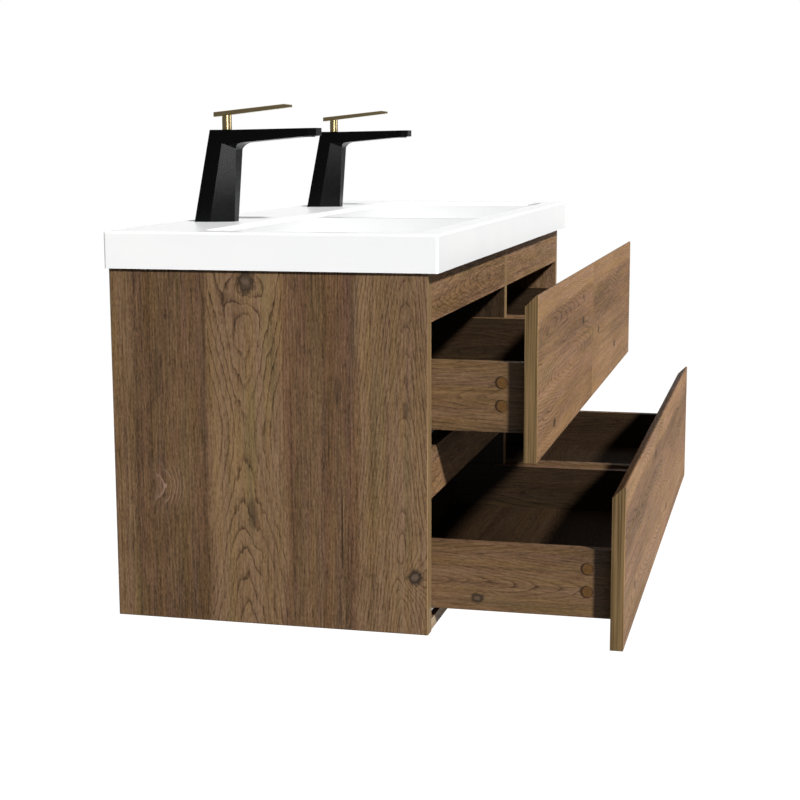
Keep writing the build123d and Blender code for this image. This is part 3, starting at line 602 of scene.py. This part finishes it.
def glaze():
    """White sanitary glaze, a little uneven, with painted shade that makes the bowls greyer."""
    g = Finish("white_glaze")
    place = g.coordinates("Object")
    parts = g.split(place)
    low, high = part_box("washbasin")
    in_x = g.math("LESS_THAN", g.math("ABSOLUTE", parts[X]), high.x - BOWL_SIDE)
    in_front = g.math("GREATER_THAN", parts[Y], low.y + BOWL_FRONT)
    in_back = g.math("LESS_THAN", parts[Y], high.y - BOWL_BACK)
    below = g.math("LESS_THAN", parts[Z], high.z - BOWL_DROP)
    bowl_shade_mask = g.math("MULTIPLY", g.math("MULTIPLY", in_x, below), g.math("MULTIPLY", in_front, in_back))
    cloud = g.noise(place, scale=GLAZE_CLOUD, detail=3.0)
    speck = g.noise(place, scale=GLAZE_SPECK)
    white = g.mix(g.fit(cloud, *GLAZE_CLOUD_SPAN), GLAZE_COOL, GLAZE_WARM)
    # Painted shade: the bowls take the greyer colour
    g.set(Base_Color=g.mix(bowl_shade_mask, white, GLAZE_BOWL_PAINTED_SHADE))
    g.set(Roughness=g.fit(speck, *NOISE_SPAN, *GLAZE_ROUGHNESS), Coat_Weight=0.10, Coat_Roughness=0.15)
    g.bump(g.math("MULTIPLY_ADD", speck, GLAZE_SPECK_RELIEF, cloud), strength=0.05, distance=0.0006)
    return g.material


# Clouds and marks in coatings and metals: their noise scales, and their shares in the colour
COAT_CLOUD = 18.0
COAT_CLOUD_SHARE = 0.6
METAL_CLOUD = 40.0
METAL_MARK_SHARE = 0.7
METAL_MARKS = 260.0
BRUSH_ACROSS = 1600.0
BRUSH_ALONG = 14.0


def shared(g, a, share, b):
    """A share of a with the rest of b."""
    return g.math("MULTIPLY_ADD", a, share, g.math("MULTIPLY", b, 1.0 - share))


def coated(name, low, high, roughness, grain, specular=0.5):
    """A powder-coated or moulded finish between two colours, with a fine grain."""
    g = Finish(name)
    place = g.coordinates("Object")
    fine = g.noise(place, scale=grain, detail=3.0)
    cloud = g.noise(place, scale=COAT_CLOUD)
    g.set(Base_Color=g.mix(shared(g, cloud, COAT_CLOUD_SHARE, fine), low, high))
    g.set(Roughness=g.fit(fine, *NOISE_SPAN, roughness + SMOOTHER, roughness + ROUGHER))
    g.set(Specular_IOR_Level=specular)
    g.bump(fine, strength=0.12, distance=0.0002)
    return g.material


def metal(name, low, high, roughness, brushed=None):
    """Bare metal between two colours, with brush marks along one axis where it is brushed."""
    g = Finish(name)
    stretch = [METAL_MARKS] * 3
    if brushed is not None:
        stretch = [BRUSH_ACROSS] * 3
        stretch[brushed] = BRUSH_ALONG
    place = g.coordinates("Object")
    marks = g.noise(g.vector("MULTIPLY", place, stretch), detail=3.0, roughness=0.6)
    cloud = g.noise(place, scale=METAL_CLOUD)
    g.set(Base_Color=g.mix(shared(g, marks, METAL_MARK_SHARE, cloud), low, high), Metallic=1.0)
    g.set(Roughness=g.fit(marks, *NOISE_SPAN, roughness + SMOOTHER, roughness + ROUGHER))
    g.bump(marks, strength=0.10, distance=0.0002)
    return g.material


# The cam locks: their radius, spacing and colours, and the painted shade on the rim of their inner side
CAM_RADIUS = 0.009
CAM_SPACING = 0.032
CAM_RIM_SHIFT = 0.0020
CAM_RIM_RADIUS = 0.0078
CAM_RIM_BLUR = 0.0006
CAM_DARK = (0.080, 0.034, 0.006)
CAM_LIGHT = (0.118, 0.055, 0.012)
CAM_RIM_PAINTED_SHADE = (0.030, 0.013, 0.004)
CAM_GRAIN = 260.0
CAM_ROUGHNESS = (0.46, 0.60)


def cam_plastic(drawer):
    """Tan plastic with painted shade on its rim, where the lock's cup drops away from the board."""
    node = f"{drawer}_drawer_cam_fittings"
    g = Finish(f"tan_{node}")
    place = g.coordinates("Object")
    parts = g.split(place)
    low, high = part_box(node)
    middle = low.z + CAM_RADIUS + CAM_SPACING / 2
    across = g.math("SUBTRACT", g.math("ABSOLUTE", g.math("SUBTRACT", parts[Z], middle)), CAM_SPACING / 2)
    along = g.math("SUBTRACT", parts[Y], high.y - CAM_RADIUS - CAM_RIM_SHIFT)
    rim_shade = g.fit(g.length(along, across), CAM_RIM_RADIUS - CAM_RIM_BLUR, CAM_RIM_RADIUS + CAM_RIM_BLUR)
    fine = g.noise(place, scale=CAM_GRAIN, detail=3.0)
    tan = g.mix(g.fit(fine, *NOISE_SPAN), CAM_DARK, CAM_LIGHT)
    # Painted shade: a dark crescent on the rim
    g.set(Base_Color=g.mix(rim_shade, tan, CAM_RIM_PAINTED_SHADE))
    g.set(Roughness=g.fit(fine, *NOISE_SPAN, *CAM_ROUGHNESS), Specular_IOR_Level=0.15)
    g.bump(fine, strength=0.12, distance=0.0002)
    return g.material


# Metal and plastic: a darker and a lighter colour for each
BLACK = ((0.0006, 0.0006, 0.0007), (0.0012, 0.0013, 0.0014))
GOLD = ((0.45, 0.345, 0.170), (0.60, 0.475, 0.250))
CHROME = ((0.72, 0.72, 0.74), (0.86, 0.86, 0.88))
ZINC = ((0.20, 0.205, 0.215), (0.34, 0.345, 0.360))
BRASS = ((0.50, 0.36, 0.15), (0.72, 0.56, 0.28))
WHITE_PLASTIC = ((0.74, 0.74, 0.73), (0.82, 0.82, 0.81))
DARK_PLASTIC = ((0.010, 0.010, 0.011), (0.022, 0.022, 0.024))

paint("washbasin", glaze())
black = coated("black_metal", *BLACK, roughness=0.28, grain=900.0, specular=0.13)
gold = metal("brushed_gold", *GOLD, roughness=0.22, brushed=Y)
chrome = metal("chrome", *CHROME, roughness=0.12)
zinc = metal("zinc_steel", *ZINC, roughness=0.40, brushed=Y)
brass = metal("brass_fittings", *BRASS, roughness=0.28)
white_plastic = coated("white_plastic", *WHITE_PLASTIC, roughness=0.42, grain=300.0)
dark_plastic = coated("dark_plastic", *DARK_PLASTIC, roughness=0.5, grain=500.0)

for side in ("left", "right"):
    paint(f"{side}_tap_body", black)
    paint(f"{side}_tap_spindle", black)
    paint(f"{side}_tap_handle", gold)
    paint(f"{side}_waste_plug", chrome)
for node in ("cabinet_hangers", "wall_plates", "cabinet_rails", "runner_screws"):
    paint(node, zinc)
for drawer in DRAWERS:
    paint(f"{drawer}_drawer_rails", zinc)
    paint(f"{drawer}_intermediate_rails", zinc)
    paint(f"{drawer}_drawer_cam_fittings", cam_plastic(drawer))
for node in ("tap_cartridges", "trap_pipes", "trap_bodies"):
    paint(node, white_plastic)
paint("waste_bodies", chrome)
paint("tap_aerators", dark_plastic)
paint("tap_fixings", brass)


def seen_white(g, mirrored):
    """1 for what the camera sees, a given level for what mirrors and glass see, and 0 for other light."""
    path = g.add("ShaderNodeLightPath").outputs
    reflected = g.math("MAXIMUM", path["Is Glossy Ray"], path["Is Transmission Ray"])
    return g.math("MAXIMUM", path["Is Camera Ray"], g.math("MULTIPLY", reflected, mirrored))


def light_room():
    """The world: white to the camera, and dim in mirrors but for its backdrop and ceiling."""
    world = bpy.data.worlds.new("studio")
    scene.world = world
    world.use_nodes = True
    g = Graph(world.node_tree)
    background = g.tree.nodes["Background"].inputs
    background["Color"].default_value = WHITE
    direction = g.coordinates("Generated")
    towards = g.vector("DOT_PRODUCT", direction, BACKDROP, out="Value")
    backdrop = g.fit(towards, *BACKDROP_EDGE, ROOM_MIRRORED, 1.0, smooth=True)
    ceiling = g.fit(g.split(direction)[Z], *CEILING_EDGE, 0.0, CEILING_MIRRORED, smooth=True)
    white = seen_white(g, g.math("MAXIMUM", backdrop, ceiling))
    g.join(g.fit(white, 0.0, 1.0, AMBIENT, 1.0), background["Strength"])


def lay_floor():
    """A floor that looks white, keeps the cabinet's shadow and throws little light back up."""
    bpy.ops.mesh.primitive_plane_add(size=FLOOR_SIZE, location=(0.0, 0.0, FLOOR_LEVEL))
    floor = bpy.context.object
    floor.name = "floor"
    g = Finish("floor_white")
    g.set(Base_Color=(FLOOR_BOUNCE,) * 3 + (1.0,), Roughness=FLOOR_ROUGHNESS)
    shining = g.add("ShaderNodeEmission")
    shining.inputs["Color"].default_value = (FLOOR_GLOW,) * 3 + (1.0,)
    shaded = g.add("ShaderNodeBsdfDiffuse")
    shaded.inputs["Color"].default_value = (FLOOR_SEEN,) * 3 + (1.0,)
    seen = g.add("ShaderNodeAddShader")
    g.feed_all(seen.inputs, (shining.outputs[0], shaded.outputs[0]))
    towards = g.vector("DOT_PRODUCT", g.coordinates("Object"), BACKDROP, out="Value")
    white = seen_white(g, g.fit(towards, -FLOOR_FADE, FLOOR_FADE, smooth=True))
    choice = g.add("ShaderNodeMixShader")
    g.feed_all(choice.inputs, (white, g.shader.outputs[0], seen.outputs[0]))
    g.join(choice.outputs[0], g.output.inputs["Surface"])
    floor.data.materials.append(g.material)


def lamp(name, kind, strength, travel):
    """A lamp that shines along a direction."""
    light = bpy.data.lights.new(name, kind)
    light.energy = strength
    thing = bpy.data.objects.new(name, light)
    thing.rotation_euler = Vector(travel).to_track_quat("-Z", "Y").to_euler()
    scene.collection.objects.link(thing)
    return thing


def soft_lamp(name, strength, size, place, target):
    """A square lamp that shines at a target."""
    square = lamp(name, "AREA", strength, Vector(target) - Vector(place))
    square.data.size = size
    square.location = place
    return square


def aim_camera():
    """The camera at the photograph's place, turned by its heading, pitch and roll."""
    yaw = math.radians(CAMERA_YAW)
    pitch = math.radians(CAMERA_PITCH)
    roll = math.radians(CAMERA_ROLL)
    ahead = Vector((math.cos(yaw) * math.cos(pitch), math.sin(yaw) * math.cos(pitch), math.sin(pitch)))
    right = Vector((math.sin(yaw), -math.cos(yaw), 0.0))
    up = right.cross(ahead)
    rolled_right = math.cos(roll) * right + math.sin(roll) * up
    rolled_up = math.cos(roll) * up - math.sin(roll) * right
    turn = Matrix((rolled_right, rolled_up, -ahead)).transposed()
    camera = bpy.data.objects.new("camera", bpy.data.cameras.new("camera"))
    camera.data.lens = CAMERA_LENS
    camera.data.sensor_width = CAMERA_SENSOR
    camera.data.clip_start = CAMERA_NEAR
    camera.matrix_world = Matrix.Translation(CAMERA_PLACE) @ turn.to_4x4()
    scene.collection.objects.link(camera)
    scene.camera = camera


light_room()
lay_floor()
key = lamp("key", "SUN", KEY_STRENGTH, KEY_TRAVEL)
key.data.angle = KEY_ANGLE
soft_lamp("fill", FILL_STRENGTH, FILL_SIZE, FILL_PLACE, FILL_TARGET)
softbox = soft_lamp("softbox", SOFTBOX_STRENGTH, SOFTBOX_SIZE, SOFTBOX_PLACE, SOFTBOX_TARGET)
softbox.visible_diffuse = False
aim_camera()
scene.view_settings.view_transform = "Standard"
